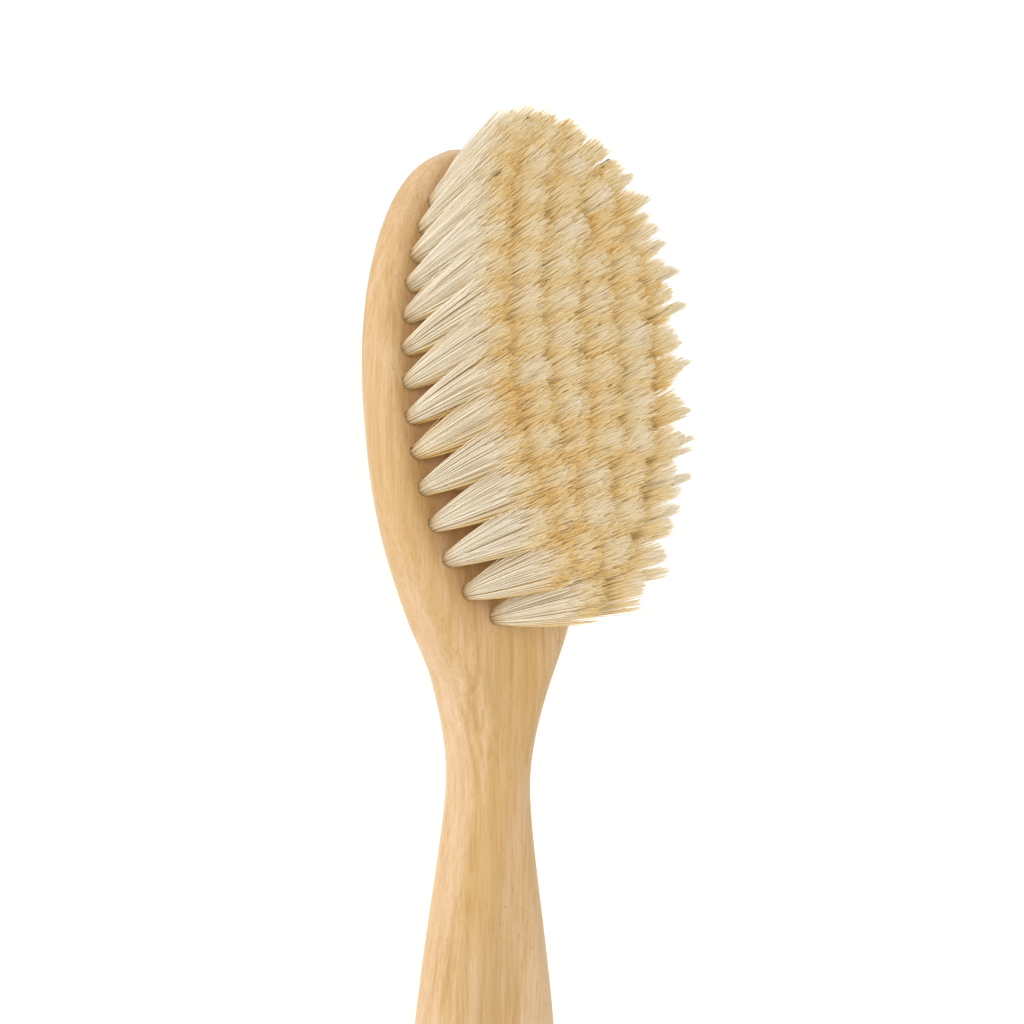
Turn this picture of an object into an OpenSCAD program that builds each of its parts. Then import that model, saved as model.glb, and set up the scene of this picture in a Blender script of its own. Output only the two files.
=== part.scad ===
// Long handled body dry brush, lying on its back with the bristles up.
// +Y runs along the brush towards the tip of the head, +X across it, +Z up.
// The beech body is one piece: head, neck and handle, gently arched at the neck.
// Every bristle tuft sits in its own drilled blind hole, folded round a wire staple.

/* [Head] */
// Widest width of the head
head_w = 57.2; // [54:0.2:60]
// Distance from the tip of the head to its widest place
head_nose_l = 60; // [57:1:64]
// Distance from the widest place of the head to the narrowest place of the neck
neck_run = 88; // [84:1:94]
// Slope of the face of the head, falling towards its tip
head_slope = 6.7; // [6:0.05:7.2]

/* [Handle] */
// Width of the neck at its narrowest
neck_w = 16.2; // [15:0.2:20]
// Widest width of the handle
handle_w = 36.2; // [33:0.2:40]
// Distance from the narrowest place of the neck to the widest place of the handle
handle_swell_l = 91; // [84:1:100]
// Distance from the widest place of the handle to its end
handle_tail_l = 131; // [110:1:150]
// Slope of the handle, falling towards its end
handle_slope = 3.2; // [2.8:0.05:3.5]
// Radius of the hanging hole
hang_hole_r = 3.5; // [2.5:0.1:4]
// Distance of the hanging hole from the end of the handle
hang_hole_inset = 17; // [14:1:24]

/* [Wood] */
// Thickness of the head
head_t = 16; // [15:0.5:19]
// Thickness of the neck
neck_t = 20.5; // [17:0.5:21]
// Thickness of the handle
handle_t = 15; // [14:0.5:18]
// Rounding of the edge round the face of the head
face_round = 3.8; // [3:0.1:4]
// Rounding of the edges of the back and of the handle
back_round = 7; // [6:0.1:7]

/* [Bristles] */
// Height of the trimmed bristle tips above the face
bristle_l = 38.5; // [32:0.5:42]
// Radius of a tuft where it leaves the wood
tuft_r = 1.7; // [1.5:0.05:1.8]
// Radius of a tuft at its tips
tuft_tip_r = 2.75; // [2.5:0.05:2.75]
// Depth of the drilled tuft holes
hole_depth = 9; // [7:0.5:10]
// Number of tufts in half of the outer ring
ring_half_count = 16; // [14:1:16]
// Number of tuft rows inside the ring
row_count = 13; // [13:1:13]
// Distance from row to row
row_pitch = 7.6; // [7.2:0.1:7.8]
// Wished distance from tuft to tuft along a row
tuft_pitch = 9; // [8.6:0.1:9.4]

/* [Hidden] */
$fn = 48;

beech = [0.87, 0.72, 0.54];
cream = [0.92, 0.86, 0.72];
steel = [0.72, 0.72, 0.70];

// Clearance of a tuft in its hole, and of a staple in its tuft
fit_gap = 0.05;
// Staple of flat wire: thickness, width across the hole, and height
staple_wire = 0.5;
staple_span = 2.6;
staple_h = 3.2;

// Stations along the body, measured from the tip of the head
widest_s = head_nose_l;
neck_s = widest_s + neck_run;
swell_s = neck_s + handle_swell_l;
end_s = swell_s + handle_tail_l;
// The face bends from the slope of the head to the slope of the handle between these stations
bend_start_s = 110;
bend_end_s = 122;
bend_angle = head_slope + handle_slope;
bend_r = (bend_end_s - bend_start_s) / (bend_angle * PI / 180);
// Length over which the two ends round off
nose_r = 4.5;
end_step = 0.15;

// Oval of the outer ring of tufts, in the plane of the face, from the tip of the head
ring_margin = 5.9;
oval_half_l = 51.6;
oval_half_w = head_w / 2 - ring_margin;
oval_s = 57.6;
// Rows inside the ring are centred here
rows_s = 59;
// Lean of the tufts: forward all over, outward at the two ends and a little to the sides
lean_forward = 5.7;
lean_neck_end = 5;
lean_tip_end = 2.6;
lean_end_power = 6;
lean_side = 0.4;
lean_tip_apart = 0.95;
// The trimmed tips fall off towards the tip of the head
tip_drop = 10;
tip_drop_power = 2.8;

// Exponents: steepest place of the taper to the neck and of the swell to the handle,
// and squareness of the end of the handle
taper_power = 1.26;
swell_power = 0.75;
tail_power = 2.4;

// Half width of the body at a station
function half_width(s) =
    s < widest_s ? head_w / 2 * sqrt(1 - pow(1 - s / head_nose_l, 2))
    : s < neck_s ? blend(head_w / 2, neck_w / 2, (s - widest_s) / neck_run, taper_power)
    : s < swell_s ? blend(neck_w / 2, handle_w / 2, (s - neck_s) / handle_swell_l, swell_power)
    : handle_w / 2 * pow(1 - pow((s - swell_s) / handle_tail_l, tail_power), 1 / tail_power);

// Smooth change from a to b, with the exponent moving its steepest place
function blend(a, b, t, e) = a + (b - a) * (1 - cos(180 * pow(t, e))) / 2;

// Thickness of the body at a station, before the two ends are rounded
function thickness(s) =
    s < widest_s ? head_t
    : s < neck_s ? blend(head_t, neck_t, (s - widest_s) / neck_run, 1)
    : blend(neck_t, handle_t, (s - neck_s) / (end_s - neck_s), 1);

// Round off the thickness at both ends, from 0 at the end to 1 inside
function nose(s) =
    let (d = min(s, end_s - s, nose_r))
    sqrt(1 - pow(1 - d / nose_r, 2));

// Place of the face line at a station, as [y, z], and its slope there
function slope(s) = s < bend_start_s ? head_slope
    : s < bend_end_s ? head_slope - bend_angle * (s - bend_start_s) / (bend_end_s - bend_start_s)
    : -handle_slope;
function line_from(p, angle, l) = [p[0] - l * cos(angle), p[1] + l * sin(angle)];
function head_line(s) = line_from([0, 0], head_slope, s);
function bend_line(s) =
    let (p = head_line(bend_start_s), a = head_slope, b = slope(s))
    [p[0] - bend_r * (sin(a) - sin(b)), p[1] + bend_r * (cos(b) - cos(a))];
function face_line(s) = s < bend_start_s ? head_line(s)
    : s < bend_end_s ? bend_line(s)
    : line_from(bend_line(bend_end_s), -handle_slope, s - bend_end_s);

// Lowest places of the back, under the tip of the head and under the end of the handle
function back_z(s) = face_line(s)[1] - thickness(s) * cos(slope(s));
lift = -min(back_z(nose_r), back_z(end_s - nose_r));
// The tuft tips reach past the tip of the head
front_y = (bristle_l - tip_drop) * sin(head_slope) + lean_forward + lean_tip_end + tuft_tip_r
    - oval_s + oval_half_l;
back_y = face_line(end_s)[0];
shift_y = -(front_y + back_y) / 2;

// Stations of the loft: close together at the rounded ends, wider along the handle
nose_steps = 8;
first_station = 8;
station_step = 4;
handle_step = 8;
fine_neck = 40;
fine_tail = 30;
function nose_station(i) = end_step + (nose_r - end_step) * (1 - cos(90 * i / nose_steps));
head_stations = [for (i = [0:nose_steps]) nose_station(i)];
mid_stations = [
    for (s = [first_station:station_step:widest_s]) s,
    for (s = [widest_s + station_step:station_step:neck_s + fine_neck]) s,
    for (s = [neck_s + fine_neck + handle_step:handle_step:end_s - fine_tail - station_step]) s
];
tail_stations = [
    for (s = [end_s - fine_tail:station_step:end_s - nose_r - 1]) s,
    for (i = [nose_steps:-1:0]) end_s - nose_station(i)
];
stations = concat(head_stations, mid_stations, tail_stations);

// The skin of the head stands a little over its flat face, which is then planed off
plane_cut = 0.06;
crown_h = 1.2;
function over_face(s, h) = s < bend_start_s ? h : 0;

// One section: a rectangle with rounded corners, as points [x, height over the face]
corner_steps = 6;
corner_share = 0.94;
function corner(w, t, r, side, top) =
    let (rx = min(r, corner_share * w))
    [for (i = [0:corner_steps])
        let (a = (top ? 0 : -90) + 90 * i / corner_steps)
        [side * (w - rx + rx * cos(a)), (top ? -r : r - t) + r * sin(a)]];
function raised(list, h) = [for (q = list) [q[0], q[1] + h]];
function reverse(list) = [for (i = [len(list) - 1:-1:0]) list[i]];
function section(s) =
    let (
        w = half_width(s),
        t = thickness(s),
        r_top = s < widest_s ? face_round
            : blend(face_round, back_round, min(1, (s - widest_s) / neck_run), 1),
        h = over_face(s, plane_cut)
    )
    concat(
        corner(w, t, back_round, 1, false), raised(corner(w, t, r_top, 1, true), h),
        [[0, over_face(s, crown_h)]],
        reverse(raised(corner(w, t, r_top, -1, true), h)), reverse(corner(w, t, back_round, -1, false))
    );
function placed_section(s) =
    let (p = face_line(s), a = slope(s), t = thickness(s), f = nose(s))
    [for (q = section(s))
        let (h = -t / 2 + (q[1] + t / 2) * f)
        [q[0], p[0] + h * sin(a), p[1] + h * cos(a)]];

// Solid skin through all the sections
module loft() {
    count = len(section(widest_s));
    rings = len(stations);
    points = [for (s = stations) each placed_section(s)];
    sides = [
        for (k = [0:rings - 2])
            for (i = [0:count - 1])
                let (
                    a = k * count + i,
                    b = k * count + (i + 1) % count,
                    c = b + count,
                    d = a + count
                )
                each [[a, d, c], [a, c, b]]
    ];
    front = [for (i = [0:count - 1]) i];
    rear = [for (i = [count - 1:-1:0]) (rings - 1) * count + i];
    polyhedron(points = points, faces = concat(sides, [front, rear]), convexity = 6);
}

// Tuft places in the plane of the face, as [x, y] with y = 0 at the tip of the head.
// The ring runs from the neck end of the oval to the tip, a little closer set towards the tip.
ring_pack = 0.21;
oval_steps = 90;
function oval_point(a) = [oval_half_w * sin(a), -oval_s - oval_half_l * cos(a)];
oval_lengths = [
    for (i = 0, l = 0; i <= oval_steps;
        l = l + norm(oval_point(180 * (i + 1) / oval_steps) - oval_point(180 * i / oval_steps)),
        i = i + 1) [l, 180 * i / oval_steps]
];
oval_length = oval_lengths[oval_steps][0];
function ring_tuft(k, side) =
    let (
        f = (k + 0.5) / ring_half_count,
        l = oval_length * (f + ring_pack * f * (1 - f)),
        p = oval_point(lookup(l, oval_lengths))
    )
    [side * p[0], p[1]];
function ring_half(side) = [for (k = [0:ring_half_count - 1]) ring_tuft(k, side)];

// A row spreads its tufts evenly between the two sides of the ring
function row_y(j) = -rows_s + row_pitch * (j - (row_count - 2) / 2);
function oval_half_width(y) = oval_half_w * sqrt(1 - pow((y + oval_s) / oval_half_l, 2));
function row(j) =
    let (
        y = row_y(j),
        w = oval_half_width(y),
        n = round(2 * w / tuft_pitch) - 1
    )
    [for (i = [0:n - 1]) [(i - (n - 1) / 2) * 2 * w / (n + 1), y]];

// Place along the oval: -1 at its neck end, 1 at its tip end
function oval_share(p) = (p[1] + oval_s) / oval_half_l;
function end_share(p) = pow(abs(oval_share(p)), lean_end_power);

// Offset of a tuft's tips from its root, along the face
function lean(p) =
    let (tip_end = oval_share(p) > 0)
    [
        p[0] / oval_half_w * lean_side + (tip_end ? sign(p[0]) * lean_tip_apart * end_share(p) : 0),
        lean_forward + (tip_end ? lean_tip_end : -lean_neck_end) * end_share(p)
    ];

// Height of a tuft's tips over the face
function tip_height(p) = bristle_l - tip_drop * pow(max(0, oval_share(p)), tip_drop_power);

// Put the children in the plane of the face of the head
module on_face() {
    translate([0, shift_y, lift]) rotate([-head_slope, 0, 0]) children();
}

// Put the children at a tuft's root, with +Z along the tuft and +X still across the brush
module at_tuft(p) {
    v = lean(p);
    heading = atan2(v[1], v[0]);
    translate([p[0], p[1], 0]) rotate([0, atan2(norm(v), tip_height(p)), heading])
        rotate([0, 0, -heading]) children();
}

module tuft_hole() {
    translate([0, 0, -hole_depth]) cylinder(r = tuft_r + fit_gap, h = hole_depth + face_round);
}

module tuft(p) {
    free_l = norm([lean(p)[0], lean(p)[1], tip_height(p)]);
    at_tuft(p) difference() {
        union() {
            translate([0, 0, -hole_depth]) cylinder(r = tuft_r, h = hole_depth);
            cylinder(r1 = tuft_r, r2 = tuft_tip_r, h = free_l);
        }
        translate([0, 0, -hole_depth + staple_h / 2])
            cube([staple_span + 2 * fit_gap, staple_wire + 2 * fit_gap, staple_h + 2 * fit_gap], center = true);
    }
}

// U of flat wire, crown up, standing on the floor of the hole inside the folded tuft
module staple() {
    half = staple_span / 2;
    crown_z = staple_h - staple_wire;
    translate([0, staple_wire / 2, -hole_depth]) rotate([90, 0, 0])
        linear_extrude(height = staple_wire)
            polygon([
                [-half, 0], [-half, staple_h], [half, staple_h], [half, 0],
                [half - staple_wire, 0], [half - staple_wire, crown_z],
                [-half + staple_wire, crown_z], [-half + staple_wire, 0]
            ]);
}

module tufts(places) {
    color(cream) on_face() for (p = places) tuft(p);
}

module staples(places) {
    color(steel) on_face() for (p = places) at_tuft(p) staple();
}

// Through hole across the end of the handle, square to its face
module hanging_hole() {
    s = end_s - hang_hole_inset;
    p = face_line(s);
    translate([0, p[0], p[1]]) rotate([handle_slope, 0, 0])
        translate([0, 0, -1.5 * handle_t]) cylinder(r = hang_hole_r, h = 2 * handle_t);
}

// Block over the flat face of the head
module face_plane() {
    translate([-head_w, -bend_end_s, 0]) cube([2 * head_w, bend_end_s + nose_r, 4 * crown_h]);
}

// Everything taken off the face of the head: the layer planed off and all the tuft holes
module face_cut() {
    face_plane();
    for (side = [-1, 1]) for (p = ring_half(side)) at_tuft(p) tuft_hole();
    for (j = [0:row_count - 1]) for (p = row(j)) at_tuft(p) tuft_hole();
}

module brush_body() {
    color(beech) difference() {
        translate([0, shift_y, lift]) loft();
        on_face() union() face_cut();
        translate([0, shift_y, lift]) hanging_hole();
    }
}

brush_body();
tufts(ring_half(-1));  // tufts_outer_left
tufts(ring_half(1));  // tufts_outer_right
tufts(row(0));  // tuft_row_01
tufts(row(1));  // tuft_row_02
tufts(row(2));  // tuft_row_03
tufts(row(3));  // tuft_row_04
tufts(row(4));  // tuft_row_05
tufts(row(5));  // tuft_row_06
tufts(row(6));  // tuft_row_07
tufts(row(7));  // tuft_row_08
tufts(row(8));  // tuft_row_09
tufts(row(9));  // tuft_row_10
tufts(row(10));  // tuft_row_11
tufts(row(11));  // tuft_row_12
tufts(row(12));  // tuft_row_13
staples(ring_half(-1));  // staples_outer_left
staples(ring_half(1));  // staples_outer_right
staples(row(0));  // staple_row_01
staples(row(1));  // staple_row_02
staples(row(2));  // staple_row_03
staples(row(3));  // staple_row_04
staples(row(4));  // staple_row_05
staples(row(5));  // staple_row_06
staples(row(6));  // staple_row_07
staples(row(7));  // staple_row_08
staples(row(8));  // staple_row_09
staples(row(9));  // staple_row_10
staples(row(10));  // staple_row_11
staples(row(11));  // staple_row_12
staples(row(12));  // staple_row_13
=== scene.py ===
import math

import bpy
import numpy as np
from mathutils import Matrix, Vector


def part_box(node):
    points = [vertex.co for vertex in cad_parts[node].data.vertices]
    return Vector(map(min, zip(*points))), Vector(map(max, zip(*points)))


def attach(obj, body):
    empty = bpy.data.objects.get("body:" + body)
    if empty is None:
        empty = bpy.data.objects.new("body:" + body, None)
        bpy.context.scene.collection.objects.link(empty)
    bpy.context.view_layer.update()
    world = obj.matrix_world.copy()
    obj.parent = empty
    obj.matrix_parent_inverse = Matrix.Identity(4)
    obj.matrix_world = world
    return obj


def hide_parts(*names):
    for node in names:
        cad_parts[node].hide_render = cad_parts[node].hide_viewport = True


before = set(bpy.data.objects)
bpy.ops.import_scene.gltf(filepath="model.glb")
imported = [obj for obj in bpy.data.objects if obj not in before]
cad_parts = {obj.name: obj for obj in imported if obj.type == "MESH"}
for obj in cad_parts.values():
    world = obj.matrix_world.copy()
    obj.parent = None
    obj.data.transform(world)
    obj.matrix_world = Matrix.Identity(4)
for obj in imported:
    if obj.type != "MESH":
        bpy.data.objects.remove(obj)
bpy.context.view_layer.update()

MM = 0.001

# ---------------------------------------------------------------- wood: the outline of the CAD body
# All lengths are in millimetres, and stations run from the tip of the head to the end of the handle.
HEAD_W = 57.2
NECK_W = 16.2
HANDLE_W = 36.2
WIDEST_S = 60.0
NECK_S = 148.0
SWELL_S = 239.0
END_S = 370.0
HEAD_T = 16.0
NECK_T = 20.5
HANDLE_T = 15.0
FACE_ROUND = 3.8
BACK_ROUND = 7.0
NOSE_R = 4.5
HEAD_SLOPE = math.radians(6.7)
HANDLE_SLOPE = math.radians(3.2)
BEND_START_S = 110.0
BEND_END_S = 122.0
HOLE_DEPTH = 9.0
HOLE_R = 1.75
RIM_CHAMFER = 0.2
HANG_HOLE_R = 3.5
HANG_HOLE_INSET = 17.0
HANG_CHAMFER = 0.6

# Exponents: steepest place of the taper to the neck and of the swell to the handle,
# and squareness of the end of the handle
TAPER_POWER = 1.26
SWELL_POWER = 0.75
TAIL_POWER = 2.4
# A corner of the section takes at most this share of the half width
CORNER_SHARE = 0.94

# Steps of the skin: rounded ends, head and neck, handle, corners of the section, drilled holes
END_STEP = 0.08
NOSE_STEPS = 10
FIRST_GAP = 1.2
LAST_GAP = 1.0
HEAD_STEP = 2.0
HANDLE_STEP = 3.0
HEAD_STEPS_PAST_NECK = 30.0
CORNER_STEPS = 12
HOLE_SIDES = 24
HANG_HOLE_SIDES = 40
# The cutters reach this far past the wood
CUT_PAST = 0.2
SHARP_ANGLE = math.radians(32)


def blend(a, b, t, exponent=1.0):
    """Smooth change from a to b; the exponent moves its steepest place."""
    return a + (b - a) * (1 - math.cos(math.pi * t ** exponent)) / 2


def half_width(s):
    if s < WIDEST_S:
        return HEAD_W / 2 * math.sqrt(1 - (1 - s / WIDEST_S) ** 2)
    if s < NECK_S:
        return blend(HEAD_W / 2, NECK_W / 2, (s - WIDEST_S) / (NECK_S - WIDEST_S), TAPER_POWER)
    if s < SWELL_S:
        return blend(NECK_W / 2, HANDLE_W / 2, (s - NECK_S) / (SWELL_S - NECK_S), SWELL_POWER)
    t = (s - SWELL_S) / (END_S - SWELL_S)
    return HANDLE_W / 2 * (1 - t ** TAIL_POWER) ** (1 / TAIL_POWER)


def thickness(s):
    if s < WIDEST_S:
        return HEAD_T
    if s < NECK_S:
        return blend(HEAD_T, NECK_T, (s - WIDEST_S) / (NECK_S - WIDEST_S))
    return blend(NECK_T, HANDLE_T, (s - NECK_S) / (END_S - NECK_S))


def nose(s):
    """1 inside, falling to 0 at both ends along a quarter circle."""
    d = min(s, END_S - s, NOSE_R)
    return math.sqrt(max(0.0, 1 - (1 - d / NOSE_R) ** 2))


def slope(s):
    """Slope of the face at a station, from that of the head to that of the handle."""
    t = min(1.0, max(0.0, (s - BEND_START_S) / (BEND_END_S - BEND_START_S)))
    return HEAD_SLOPE - (HEAD_SLOPE + HANDLE_SLOPE) * t


def line_from(y, z, angle, length):
    """The point this far back along a line that rises at an angle."""
    return y - length * math.cos(angle), z + length * math.sin(angle)


def face_line(s):
    """(y, z) of the middle of the face at a station, from the tip of the head."""
    if s <= BEND_START_S:
        return line_from(0.0, 0.0, HEAD_SLOPE, s)
    radius = (BEND_END_S - BEND_START_S) / (HEAD_SLOPE + HANDLE_SLOPE)
    y, z = line_from(0.0, 0.0, HEAD_SLOPE, BEND_START_S)
    a, b = HEAD_SLOPE, slope(s)
    y -= radius * (math.sin(a) - math.sin(b))
    z += radius * (math.cos(b) - math.cos(a))
    return line_from(y, z, -HANDLE_SLOPE, max(0.0, s - BEND_END_S))


def stations():
    """Close together round the two ends, wider along the handle."""
    turns = [math.pi / 2 * i / NOSE_STEPS for i in range(NOSE_STEPS + 1)]
    end = [END_STEP + (NOSE_R - END_STEP) * (1 - math.cos(a)) for a in turns]
    head = np.arange(NOSE_R + FIRST_GAP, NECK_S + HEAD_STEPS_PAST_NECK, HEAD_STEP)
    handle_start = NECK_S + HEAD_STEPS_PAST_NECK + LAST_GAP
    handle = np.arange(handle_start, END_S - NOSE_R - LAST_GAP, HANDLE_STEP)
    return end + list(head) + list(handle) + [END_S - s for s in reversed(end)]


def section(s):
    """Rounded rectangle of the body at a station, as (x, height over the face)."""
    w, t = half_width(s), thickness(s)
    top = FACE_ROUND
    if s > WIDEST_S:
        top = blend(FACE_ROUND, BACK_ROUND, min(1.0, (s - WIDEST_S) / (NECK_S - WIDEST_S)))
    right = []
    for radius, centre, start in ((BACK_ROUND, BACK_ROUND - t, -90), (top, -top, 0)):
        rx = min(radius, CORNER_SHARE * w)
        for i in range(CORNER_STEPS + 1):
            a = math.radians(start + 90 * i / CORNER_STEPS)
            right.append((w - rx + rx * math.cos(a), centre + radius * math.sin(a)))
    return right + [(-x, h) for x, h in reversed(right)]


def placed(s, x, h):
    """Point x across and h over the face at a station, with the two ends rounded."""
    y, z = face_line(s)
    a, t = slope(s), thickness(s)
    h = -t / 2 + (h + t / 2) * nose(s)
    return x, y + h * math.sin(a), z + h * math.cos(a)


# ---------------------------------------------------------------- meshes
def mesh_object(name, verts, faces):
    mesh = bpy.data.meshes.new(name)
    mesh.from_pydata(verts, [], faces)
    mesh.update()
    obj = bpy.data.objects.new(name, mesh)
    bpy.context.scene.collection.objects.link(obj)
    return obj


def ring_faces(rings, count):
    """Faces of a closed solid made of rings of count points each, with a flat cap at both ends."""
    faces = []
    for k in range(rings - 1):
        for i in range(count):
            j = (i + 1) % count
            faces.append([k * count + i, k * count + j, (k + 1) * count + j, (k + 1) * count + i])
    faces.append(list(range(count))[::-1])
    faces.append([(rings - 1) * count + i for i in range(count)])
    return faces


def lathe(origin, axis, profile, steps):
    """Closed turned solid: profile is (radius, distance along the axis) from one end to the other,
    in millimetres, and the origin is in metres."""
    turn = Vector((0, 0, 1)).rotation_difference(Vector(axis).normalized()).to_matrix()
    verts = []
    for radius, height in profile:
        for i in range(steps):
            a = 2 * math.pi * i / steps
            spot = Vector((radius * MM * math.cos(a), radius * MM * math.sin(a), height * MM))
            verts.append(Vector(origin) + turn @ spot)
    return verts, ring_faces(len(profile), steps)


def joined(solids):
    """Vertices and faces of several solids as those of one mesh."""
    verts, faces = [], []
    for own_verts, own_faces in solids:
        start = len(verts)
        verts.extend(own_verts)
        faces.extend([[start + i for i in face] for face in own_faces])
    return verts, faces


# ---------------------------------------------------------------- tufts: places read from the CAD nodes
# Points of a mesh that agree to this many decimals of a metre are one point,
# and tufts that agree to this many stand in one row
SAME_PLACE_DECIMALS = 6
SAME_ROW_DECIMALS = 4
# The two ends of a tuft's solid are its points within this length, in millimetres
END_LENGTH = 0.2


def islands(mesh):
    """Vertex numbers of each separate solid in a mesh."""
    parent = list(range(len(mesh.vertices)))

    def root(i):
        while parent[i] != i:
            parent[i] = parent[parent[i]]
            i = parent[i]
        return i

    spots = {}
    for v in mesh.vertices:
        key = tuple(round(c, SAME_PLACE_DECIMALS) for c in v.co)
        parent[root(v.index)] = root(spots.setdefault(key, v.index))
    for e in mesh.edges:
        parent[root(e.vertices[0])] = root(e.vertices[1])
    groups = {}
    for v in mesh.vertices:
        groups.setdefault(root(v.index), []).append(v.index)
    return list(groups.values())


def tuft_axes(node):
    """(bottom of the hole, centre of the tips) of every tuft of a CAD node, in metres."""
    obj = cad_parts[node]
    out = []
    for group in islands(obj.data):
        p = np.array([obj.data.vertices[i].co for i in group])
        middle = p.mean(axis=0)
        axis = np.linalg.svd(p - middle, full_matrices=False)[2][0]
        if axis[2] < 0:
            axis = -axis
        t = (p - middle) @ axis
        ends = []
        for limit, sign in ((t.min(), 1), (t.max(), -1)):
            cap = p[sign * (t - limit) < END_LENGTH * MM]
            ends.append((cap.min(axis=0) + cap.max(axis=0)) / 2)
        out.append((ends[0], ends[1]))
    out.sort(key=lambda e: (round(e[0][1], SAME_ROW_DECIMALS), round(e[0][0], SAME_ROW_DECIMALS)))
    return out


TUFT_NODES = [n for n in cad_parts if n.startswith("tuft")]
TUFTS = {node: tuft_axes(node) for node in TUFT_NODES}
FACE_NORMAL = np.array([0.0, math.sin(HEAD_SLOPE), math.cos(HEAD_SLOPE)])
FACE_ALONG = np.array([0.0, math.cos(HEAD_SLOPE), -math.sin(HEAD_SLOPE)])
ACROSS = np.array([1.0, 0.0, 0.0])
HEAD_TIP_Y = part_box("brush_body")[1][1] + HEAD_T / 2 * math.sin(HEAD_SLOPE) * MM


# ---------------------------------------------------------------- wood body
def body_skin():
    """Vertices and faces of the body without its holes, on the box of the CAD body,
    and the move that brought it there."""
    rings = [[placed(s, x, h) for x, h in section(s)] for s in stations()]
    verts = np.array(rings).reshape(-1, 3) * MM
    low, high = (np.array(corner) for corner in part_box("brush_body"))
    shift = np.array([0.0, high[1] - verts[:, 1].max(), low[2] - verts[:, 2].min()])
    return (verts + shift).tolist(), ring_faces(len(rings), len(rings[0])), shift


def tuft_hole_cutters():
    """Blind holes with a small chamfer round the rim, one for each tuft."""
    profile = [
        (HOLE_R, 0.0),
        (HOLE_R, HOLE_DEPTH - RIM_CHAMFER),
        (HOLE_R + RIM_CHAMFER + CUT_PAST, HOLE_DEPTH + CUT_PAST),
    ]
    ends = [end for tufts in TUFTS.values() for end in tufts]
    return [lathe(bottom, tip - bottom, profile, HOLE_SIDES) for bottom, tip in ends]


def hanging_hole_cutter(shift):
    """Through hole at the end of the handle, with both rims chamfered."""
    s = END_S - HANG_HOLE_INSET
    t = thickness(s)
    low_end = np.array(placed(s, 0.0, -t)) * MM + shift
    up = (0.0, -math.sin(HANDLE_SLOPE), math.cos(HANDLE_SLOPE))
    wide = HANG_HOLE_R + HANG_CHAMFER + CUT_PAST
    profile = [
        (wide, -CUT_PAST),
        (HANG_HOLE_R, HANG_CHAMFER),
        (HANG_HOLE_R, t - HANG_CHAMFER),
        (wide, t + CUT_PAST),
    ]
    return lathe(low_end, up, profile, HANG_HOLE_SIDES)


def cut_away(body, cutter):
    """Take the cutter out of the body for good."""
    cut = body.modifiers.new("holes", "BOOLEAN")
    cut.object = cutter
    cut.operation = "DIFFERENCE"
    cut.solver = "EXACT"
    bpy.context.view_layer.update()
    evaluated = body.evaluated_get(bpy.context.evaluated_depsgraph_get())
    result = bpy.data.meshes.new_from_object(evaluated)
    body.modifiers.clear()
    body.data = result
    bpy.data.objects.remove(cutter)


def wood_body():
    """The one piece body with its tuft holes and its hanging hole."""
    verts, faces, shift = body_skin()
    body = mesh_object("wood_body", verts, faces)
    solids = tuft_hole_cutters() + [hanging_hole_cutter(shift)]
    cut_away(body, mesh_object("hole_cutter", *joined(solids)))
    body.data.shade_smooth()
    body.data.set_sharp_from_angle(angle=SHARP_ANGLE)
    even = body.modifiers.new("even_normals", "WEIGHTED_NORMAL")
    even.keep_sharp = True
    return body


# ---------------------------------------------------------------- bristles
FIBRES = 400
FIBRE_SIDES = 3
# Rings of a bristle from the face of the wood (0) to its tip (1), the first one in the hole,
# and its radius at each ring
RINGS_T = np.array([-0.11, 0.06, 0.3, 0.55, 0.8, 1.0])
FIBRE_R = np.interp(RINGS_T, [0.0, 0.6, 1.0], [0.11, 0.108, 0.06])

# A tuft's radius at the wood, how far its tips fan out across and along the brush,
# and how early it fans out
ROOT_R = 1.6
TIP_ACROSS = 5.5
TIP_ALONG = 5.7
RIGHT_TIP_ALONG = 4.5
FAN_POWER = 0.74
OUTER_EXTRA_LEFT = 1.3
OUTER_EXTRA_RIGHT = 1.7
# Tips keep a little closer to the middle of their tuft than an even spread would
MIDDLE_POWER = 0.3
TIP_SCATTER = 0.05
# How fast a bristle's share on the outer side grows from the middle of its tuft to the outer edge
OUTER_GAIN = 1.5

# Oval of the outer ring, along the face from the tip of the head, and how much more its tufts
# fan out or shift at the neck end and at the tip
OVAL_S = 57.6
OVAL_HALF_L = 51.6
NECK_END_POWER = 3
NECK_END_SPREAD = 1.2
NECK_END_FORWARD = 1.8
NECK_END_RIGHT = 4.5
TIP_END_RIGHT = -2.0
TIP_END_RIGHT_POWER = 4
TIP_PULL_BACK = 4.5
TIP_PULL_BACK_POWER = 12

# Tips stick together in clumps, most of all on the right side
CLUMP_MIDDLES_R = 0.95
CLUMPS = 6
CLUMP_PULL = 0.10
LEFT_CLUMP_PULL = 0.03
RIGHT_CLUMPS = 3
RIGHT_CLUMP_PULL = 0.66

# The tips of a tuft form a low dome with a few shorter ones, and clumps on the right end in points
DOME_DROP = 2.9
DOME_POWER = 3
HEIGHT_SCATTER = 0.25
POINT_DROP = 6.0
POINT_POWER = 1.5
SHORT_SHARE = 0.05
SHORT_DROP = 5.0

# Bow of a bristle, and the few that stray from their tuft
BOW = 0.2
BOW_FADE = 0.3
BOW_TURN = 0.8 * math.pi
STRAY_SHARE_OUTER = 0.008
STRAY_SHARE_INNER = 0.003
STRAY = 2.4
STRAY_POWER = 1.4

# Tone of a bristle: half by chance and half by its place in the tuft, with painted shade round the
# tuft's rim and on the inner side of the left half of the ring, and a small shift for the whole tuft
CHANCE_SHARE = 0.5
TUFT_TONE_SCATTER = 0.09
LEFT_INNER_PAINTED_SHADE = 0.22
# The few dark bristles, and how much coarser they are
DARK_SHARE = 0.0009
DARK_COARSER = 1.4
# Seed of the first tuft node; the next nodes take the next numbers
FIRST_SEED = 41


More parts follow.
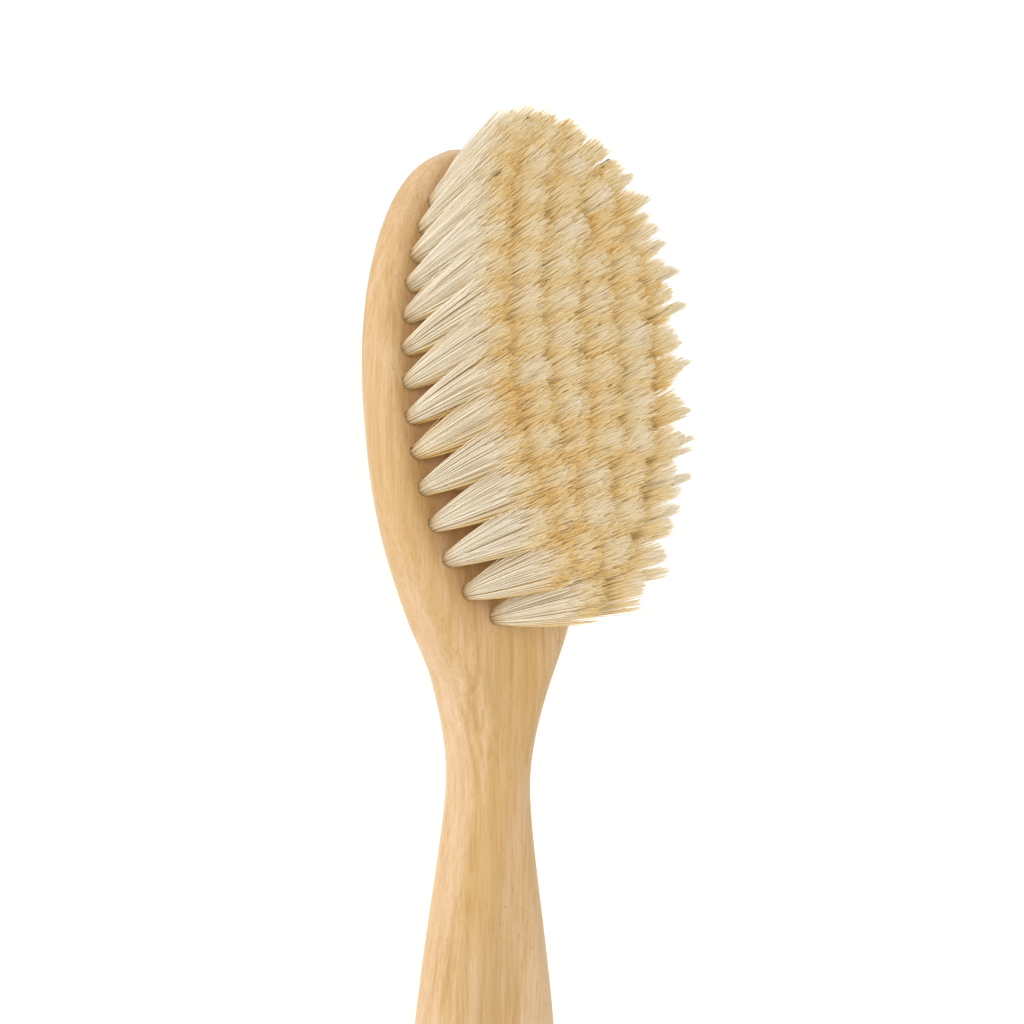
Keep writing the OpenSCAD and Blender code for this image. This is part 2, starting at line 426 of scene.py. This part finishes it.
def disc(rng, n, radius):
    """Random places spread evenly over a disc."""
    r = radius * rng.random(n) ** 0.5
    a = 2 * math.pi * rng.random(n)
    return np.stack([r * np.cos(a), r * np.sin(a)], axis=1)


def oval_ends(root):
    """Nearness of a tuft's root to the neck end of the oval and to its tip end, from 0 to 1."""
    s = (HEAD_TIP_Y - root[1]) / math.cos(HEAD_SLOPE) / MM
    share = (OVAL_S - s) / OVAL_HALF_L
    return max(0.0, -share) ** NECK_END_POWER, max(0.0, share)


def clumped_ends(rng, start, outer_share, outward):
    """Places of the tips in a unit tuft, and each one's distance to the middle of its clump."""
    right = outward > 0
    middles = disc(rng, RIGHT_CLUMPS if right else CLUMPS, CLUMP_MIDDLES_R)
    nearest = np.argmin(((start[:, None] - middles[None]) ** 2).sum(axis=2), axis=1)
    to_middle = middles[nearest] - start
    outer_pull = RIGHT_CLUMP_PULL if right else LEFT_CLUMP_PULL
    pull = CLUMP_PULL + (outer_pull - CLUMP_PULL) * outer_share
    reach = np.linalg.norm(start, axis=1)
    end = start * reach[:, None] ** MIDDLE_POWER + pull[:, None] * to_middle
    end = end + rng.normal(0, TIP_SCATTER, start.shape)
    return end, np.linalg.norm(to_middle, axis=1)


def tip_heights(rng, tuft_height, reach, right_share, clump_distance):
    """Heights of the tips over the face, in millimetres."""
    n = len(reach)
    height = tuft_height - DOME_DROP * reach ** DOME_POWER + rng.normal(0, HEIGHT_SCATTER, n)
    height = height - POINT_DROP * right_share * clump_distance ** POINT_POWER
    return height - (rng.random(n) < SHORT_SHARE) * rng.random(n) * SHORT_DROP


def places_in_plane(rng, root, start, end, outward):
    """Offsets of each bristle's rings from the tuft's axis, across and along the face, in
    millimetres."""
    n = len(start)
    right = outward > 0
    up = np.clip(RINGS_T, 0, 1)[None, :, None]
    fan = up ** FAN_POWER
    neck_share, tip_share = oval_ends(root)
    extra = OUTER_EXTRA_RIGHT if right else OUTER_EXTRA_LEFT
    across = TIP_ACROSS + extra * (end[:, 0] * outward > 0)
    along = (RIGHT_TIP_ALONG if right else TIP_ALONG) + NECK_END_SPREAD * neck_share
    spread = np.stack([across, np.full(n, along)], axis=1)[:, None]
    places = ROOT_R * start[:, None] * (1 - fan) + spread * end[:, None] * fan
    sideways = (NECK_END_RIGHT * neck_share + TIP_END_RIGHT * tip_share ** TIP_END_RIGHT_POWER) * right
    forward = NECK_END_FORWARD * neck_share ** 2 - TIP_PULL_BACK * tip_share ** TIP_PULL_BACK_POWER
    places = places + np.array([sideways, forward]) * up
    bow = rng.normal(0, BOW, (n, 1, 2)) * up * (1.0 - BOW_FADE * up)
    places = places + bow * np.sin(BOW_TURN * up)
    stray = rng.random(n) < (STRAY_SHARE_OUTER if outward else STRAY_SHARE_INNER)
    return places + rng.normal(0, STRAY, (n, 1, 2)) * stray[:, None, None] * up ** STRAY_POWER


def fibre_paths(rng, bottom, tip, outward):
    """Centre lines of one tuft's bristles as an array (fibre, ring, xyz) in metres, each one's
    share on the outer side of the brush, and its tone, with painted shade round the rim of the tuft."""
    axis = (tip - bottom) / np.linalg.norm(tip - bottom)
    root = bottom + axis * HOLE_DEPTH * MM
    start = disc(rng, FIBRES, 1.0)
    reach = np.linalg.norm(start, axis=1)
    outer_share = np.clip(OUTER_GAIN * outward * start[:, 0], 0, 1)
    end, clump_distance = clumped_ends(rng, start, outer_share, outward)
    rise = np.dot(tip - root, FACE_NORMAL)
    height = tip_heights(rng, rise / MM, reach, outer_share * (outward > 0), clump_distance)
    lean = (tip - root) - FACE_NORMAL * rise
    places = places_in_plane(rng, root, start, end, outward)
    path = root[None, None] + lean[None, None] * RINGS_T[None, :, None]
    path = path + FACE_NORMAL * (height[:, None] * RINGS_T[None] * MM)[..., None]
    path = path + (places[..., :1] * ACROSS + places[..., 1:] * FACE_ALONG) * MM
    # Painted shade where tufts meet: a darker tone round the rim of the tuft, but not on the brush's
    # outer side
    tone_with_rim_shade = 1 - reach ** 2 * (1 - outer_share)
    tone = CHANCE_SHARE * rng.random(FIBRES) + (1 - CHANCE_SHARE) * tone_with_rim_shade
    tone = tone + rng.normal(0, TUFT_TONE_SCATTER)
    # Painted shade on the inner side of the left half of the ring
    tone = tone - LEFT_INNER_PAINTED_SHADE * (outward < 0) * (1 - outer_share)
    return path, outer_share, tone


def fibre_skin(rng, path, dark):
    """Thin three sided skins round the centre lines, as an array (fibre, ring, side, xyz).
    The few dark bristles are coarser."""
    radius = FIBRE_R[None, :, None] * (1 + DARK_COARSER * dark[:, None, None]) * MM
    turn = rng.random(len(path)) * 2 * math.pi
    sides = []
    for k in range(FIBRE_SIDES):
        a = turn + 2 * math.pi * k / FIBRE_SIDES
        offset = np.cos(a)[:, None] * ACROSS + np.sin(a)[:, None] * FACE_ALONG
        sides.append(path + offset[:, None] * radius)
    return np.stack(sides, axis=2)


def fibre_faces(fibres):
    """Four cornered faces round every fibre and a three cornered one on its tip."""
    rings = len(RINGS_T)
    base = np.arange(fibres) * rings * FIBRE_SIDES
    quads = []
    for r in range(rings - 1):
        for k in range(FIBRE_SIDES):
            a = base + r * FIBRE_SIDES + k
            b = base + r * FIBRE_SIDES + (k + 1) % FIBRE_SIDES
            quads.append(np.stack([a, b, b + FIBRE_SIDES, a + FIBRE_SIDES], axis=1))
    last = base + (rings - 1) * FIBRE_SIDES
    tips = np.stack([last + k for k in range(FIBRE_SIDES)], axis=1)
    return np.concatenate(quads).tolist() + tips.tolist()


def side_of(node):
    """-1 for the left half of the outer ring, 1 for its right half, and 0 for an inner row."""
    if node.endswith("left"):
        return -1.0
    return 1.0 if node.endswith("right") else 0.0


def bristle_piece(node, seed):
    """Bristles of all the tufts of one CAD node. The attribute hair carries their tone, the way
    along them, their share on the outer side of the brush, and whether they are dark."""
    rng = np.random.default_rng(seed)
    outward = side_of(node)
    verts, hair = [], []
    for bottom, tip in TUFTS[node]:
        path, outer_share, tone = fibre_paths(rng, bottom, tip, outward)
        dark = rng.random(FIBRES) < DARK_SHARE
        verts.append(fibre_skin(rng, path, dark))
        values = np.zeros((*verts[-1].shape[:3], 4))
        values[..., 0] = tone[:, None, None]
        values[..., 1] = np.clip(RINGS_T, 0, 1)[None, :, None]
        values[..., 2] = outer_share[:, None, None]
        values[..., 3] = dark[:, None, None]
        hair.append(values.reshape(-1, 4))
    name = node.replace("tufts", "bristles").replace("tuft", "bristles")
    verts = np.concatenate(verts)
    obj = mesh_object(name, verts.reshape(-1, 3).tolist(), fibre_faces(len(verts)))
    layer = obj.data.color_attributes.new("hair", "FLOAT_COLOR", "POINT")
    layer.data.foreach_set("color", np.concatenate(hair).astype(np.float32).ravel())
    obj.data.shade_smooth()
    return obj


# ---------------------------------------------------------------- materials
WHITE = (1.0, 1.0, 1.0)
WARM_WHITE = (1.0, 0.98, 0.95)


def new_material(name):
    """A new material, its node tree and its shader."""
    mat = bpy.data.materials.new(name)
    mat.use_nodes = True
    tree = mat.node_tree
    shader = tree.nodes["Principled BSDF"]
    return mat, tree, shader


def node_of(tree, kind, **inputs):
    """A new node with some of its inputs set."""
    node = tree.nodes.new(kind)
    for name, value in inputs.items():
        node.inputs[name].default_value = value
    return node


def stretched_noise(tree, across, along, detail=2.0, rough=0.5, offset=0.0):
    """Noise with its features long in Y, the way the grain runs."""
    coords = tree.nodes.new("ShaderNodeTexCoord")
    mapping = tree.nodes.new("ShaderNodeMapping")
    mapping.inputs["Scale"].default_value = (across, along, across)
    mapping.inputs["Location"].default_value = (offset, offset, offset)
    noise = node_of(tree, "ShaderNodeTexNoise", Scale=1.0, Detail=detail, Roughness=rough)
    tree.links.new(coords.outputs["Object"], mapping.inputs["Vector"])
    tree.links.new(mapping.outputs["Vector"], noise.inputs["Vector"])
    return noise.outputs["Fac"]


def ramp(tree, value, stops):
    """Colour ramp over a value; stops are (position, grey or colour)."""
    node = tree.nodes.new("ShaderNodeValToRGB")
    elements = node.color_ramp.elements
    while len(elements) < len(stops):
        elements.new(0.5)
    for element, (position, colour) in zip(elements, stops):
        element.position = position
        element.color = (*colour, 1.0) if isinstance(colour, tuple) else (colour, colour, colour, 1.0)
    tree.links.new(value, node.inputs["Fac"])
    return node.outputs["Color"]


# Numbers of the colour sockets of a mix node
MIX_A = 6
MIX_B = 7
MIX_RESULT = 2


def mix(tree, factor, a, b, kind="MIX"):
    """Mix of two colours; every argument is a number, a colour or another node's output."""
    node = tree.nodes.new("ShaderNodeMix")
    node.data_type = "RGBA"
    node.blend_type = kind
    sockets = (node.inputs["Factor"], node.inputs[MIX_A], node.inputs[MIX_B])
    for socket, value in zip(sockets, (factor, a, b)):
        if isinstance(value, (int, float)):
            socket.default_value = value
        elif isinstance(value, tuple):
            socket.default_value = (*value, 1.0)
        else:
            tree.links.new(value, socket)
    return node.outputs[MIX_RESULT]


def beech_colour(tree):
    """Growth bands, paler and yellower zones, fine streaks, pores and the flecks of the rays."""
    band_noise = stretched_noise(tree, across=420, along=14, detail=3.0, rough=0.55)
    base = ramp(tree, band_noise, [
        (0.32, (0.57, 0.35, 0.14)),
        (0.50, (0.69, 0.455, 0.215)),
        (0.68, (0.785, 0.555, 0.325)),
    ])
    pale = stretched_noise(tree, across=60, along=9, offset=7.0)
    base = mix(tree, ramp(tree, pale, [(0.40, 0.0), (0.62, 0.75)]), base, (0.79, 0.565, 0.35))
    yellow = stretched_noise(tree, across=90, along=16, offset=31.0)
    base = mix(tree, ramp(tree, yellow, [(0.48, 0.0), (0.70, 0.65)]), base, (0.645, 0.395, 0.14))
    streaks = stretched_noise(tree, across=1900, along=50, rough=0.6, offset=3.0)
    streaks = ramp(tree, streaks, [(0.45, (1.0, 1.0, 1.0)), (0.68, (0.88, 0.80, 0.66))])
    base = mix(tree, 0.75, base, streaks, "MULTIPLY")
    pores = stretched_noise(tree, across=3000, along=190, detail=1.0, offset=11.0)
    base = mix(tree, ramp(tree, pores, [(0.65, 0.0), (0.73, 0.6)]), base, (0.52, 0.30, 0.12))
    flecks = stretched_noise(tree, across=1500, along=600, detail=1.0, offset=23.0)
    return mix(tree, ramp(tree, flecks, [(0.69, 0.0), (0.76, 0.8)]), base, (0.66, 0.32, 0.09))


def beech_material():
    """Oiled beech, with a fine relief along the grain."""
    mat, tree, shader = new_material("oiled_beech")
    tree.links.new(beech_colour(tree), shader.inputs["Base Color"])
    sheen = stretched_noise(tree, across=900, along=60, offset=5.0)
    tree.links.new(ramp(tree, sheen, [(0.3, 0.42), (0.7, 0.54)]), shader.inputs["Roughness"])
    shader.inputs["Specular IOR Level"].default_value = 0.35
    relief = stretched_noise(tree, across=2400, along=110, offset=17.0)
    bump = node_of(tree, "ShaderNodeBump", Strength=0.12, Distance=0.0002)
    tree.links.new(relief, bump.inputs["Height"])
    tree.links.new(bump.outputs["Normal"], shader.inputs["Normal"])
    return mat


def bristle_colour(tree):
    """Golden to cream by tone, partly painted shade, paler on the outer side of the brush, painted
    shade at the root in the hole, with a few dark bristles.
    """
    attribute = tree.nodes.new("ShaderNodeAttribute")
    attribute.attribute_name = "hair"
    split = tree.nodes.new("ShaderNodeSeparateColor")
    tree.links.new(attribute.outputs["Color"], split.inputs["Color"])
    # Golden low end: partly the bristles' own yellowish tone, partly painted shade deep in the field of
    # tufts
    inner = ramp(tree, split.outputs["Red"], [
        (0.0, (0.85, 0.55, 0.17)),
        (0.3, (0.94, 0.74, 0.36)),
        (0.7, (0.98, 0.875, 0.65)),
        (1.0, (0.985, 0.91, 0.77)),
    ])
    # The outer side of the brush takes paler colours, with less of the painted golden shade
    outer = ramp(tree, split.outputs["Red"], [
        (0.0, (0.94, 0.80, 0.54)),
        (0.45, (0.965, 0.87, 0.67)),
        (1.0, (0.985, 0.93, 0.81)),
    ])
    base = mix(tree, split.outputs["Blue"], inner, outer)
    # Painted shade at the root: the bristles darken in the hole and just above the wood
    along = ramp(tree, split.outputs["Green"], [
        (0.0, (0.24, 0.16, 0.09)),
        (0.04, (0.42, 0.30, 0.18)),
        (0.06, (0.84, 0.73, 0.56)),
        (0.2, (1.0, 1.0, 1.0)),
    ])
    base = mix(tree, 1.0, base, along, "MULTIPLY")
    specks = stretched_noise(tree, across=700, along=700, rough=0.6)
    base = mix(tree, ramp(tree, specks, [(0.45, 0.0), (0.8, 0.3)]), base, (0.86, 0.66, 0.36))
    return mix(tree, attribute.outputs["Alpha"], base, (0.10, 0.07, 0.045))


def bristle_material():
    """Cream bristle. Its weak emission stands in for light that passes through thin bristles."""
    mat, tree, shader = new_material("cream_bristle")
    tree.links.new(bristle_colour(tree), shader.inputs["Base Color"])
    shader.inputs["Emission Color"].default_value = (0.95, 0.71, 0.34, 1.0)
    shader.inputs["Emission Strength"].default_value = 0.055
    shader.inputs["Roughness"].default_value = 0.5
    shader.inputs["Specular IOR Level"].default_value = 0.3
    return mat


def staple_material():
    """Steel wire with fine marks from drawing."""
    mat, tree, shader = new_material("drawn_staple_wire")
    shade = stretched_noise(tree, across=1500, along=9000)
    tree.links.new(ramp(tree, shade, [(0.3, 0.52), (0.7, 0.68)]), shader.inputs["Base Color"])
    shader.inputs["Metallic"].default_value = 1.0
    marks = stretched_noise(tree, across=4000, along=12000, offset=2.0)
    tree.links.new(ramp(tree, marks, [(0.3, 0.28), (0.7, 0.42)]), shader.inputs["Roughness"])
    return mat


def floor_material():
    """Plain white studio floor, lit a little from within so that it stays white."""
    mat, tree, shader = new_material("white_floor")
    shade = stretched_noise(tree, across=40, along=40, detail=3.0)
    tree.links.new(ramp(tree, shade, [(0.3, 0.88), (0.7, 0.90)]), shader.inputs["Base Color"])
    shader.inputs["Roughness"].default_value = 0.8
    shader.inputs["Emission Color"].default_value = (*WHITE, 1.0)
    shader.inputs["Emission Strength"].default_value = 0.5
    return mat


# ---------------------------------------------------------------- pieces on the frame
body = wood_body()
body.data.materials.clear()
body.data.materials.append(beech_material())
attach(body, "root")
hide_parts("brush_body")

cream = bristle_material()
for seed, node in enumerate(TUFT_NODES, FIRST_SEED):
    piece = bristle_piece(node, seed)
    piece.data.materials.append(cream)
    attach(piece, "root")
    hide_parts(node)

steel = staple_material()
for name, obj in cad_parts.items():
    if name.startswith("staple"):
        obj.data.materials.clear()
        obj.data.materials.append(steel)


# ---------------------------------------------------------------- floor, light and camera, in metres
FLOOR_HALF = 4.0
HEAD_AIM = (0.0, 0.1, 0.03)
WORLD_STRENGTH = 0.5

# The camera looks from the left side and from above, a little rolled.
VIEW_AZ = math.radians(-93.22)
VIEW_EL = math.radians(56.08)
VIEW_ROLL = math.radians(-0.72)
VIEW_AIM = Vector((-0.00116, 0.09620, 0.03))
VIEW_DISTANCE = 0.5692
LENS_MM = 89.03
SENSOR_MM = 36.0
VIEW_END = 20.0


def studio_floor():
    corners = [(x * FLOOR_HALF, y * FLOOR_HALF, 0.0) for x, y in ((-1, -1), (1, -1), (1, 1), (-1, 1))]
    floor = mesh_object("floor", corners, [(0, 1, 2, 3)])
    floor.data.materials.append(floor_material())


def area_light(name, place, size, power, colour):
    """Round soft light aimed at the head of the brush."""
    light = bpy.data.lights.new(name, "AREA")
    light.shape = "DISK"
    light.size = size
    light.energy = power
    light.color = colour
    obj = bpy.data.objects.new(name, light)
    obj.location = place
    obj.rotation_euler = (Vector(place) - Vector(HEAD_AIM)).to_track_quat("Z", "Y").to_euler()
    bpy.context.scene.collection.objects.link(obj)


def studio_world():
    """Even white light from all round."""
    world = bpy.data.worlds.new("studio")
    bpy.context.scene.world = world
    world.use_nodes = True
    background = world.node_tree.nodes["Background"]
    background.inputs["Color"].default_value = (*WHITE, 1.0)
    background.inputs["Strength"].default_value = WORLD_STRENGTH


def photo_camera():
    """Camera at the photo's angle: back, above and right are its own axes."""
    back = Vector((
        math.cos(VIEW_EL) * math.sin(VIEW_AZ),
        -math.cos(VIEW_EL) * math.cos(VIEW_AZ),
        math.sin(VIEW_EL),
    ))
    side = (-back).cross(Vector((0.0, 1.0, 0.0))).normalized()
    up = side.cross(-back)
    right = math.cos(VIEW_ROLL) * side + math.sin(VIEW_ROLL) * up
    above = -math.sin(VIEW_ROLL) * side + math.cos(VIEW_ROLL) * up
    data = bpy.data.cameras.new("camera")
    data.lens = LENS_MM
    data.sensor_width = SENSOR_MM
    data.clip_end = VIEW_END
    camera = bpy.data.objects.new("camera", data)
    turned = Matrix((right, above, back)).transposed().to_4x4()
    camera.matrix_world = Matrix.Translation(VIEW_AIM + back * VIEW_DISTANCE) @ turned
    bpy.context.scene.collection.objects.link(camera)
    bpy.context.scene.camera = camera


studio_floor()
area_light("key", place=(-0.75, 0.25, 0.75), size=0.7, power=4.0, colour=WARM_WHITE)
area_light("top", place=(0.1, 0.0, 1.3), size=1.0, power=4.9, colour=WHITE)
studio_world()
photo_camera()
bpy.context.scene.view_settings.view_transform = "Standard"
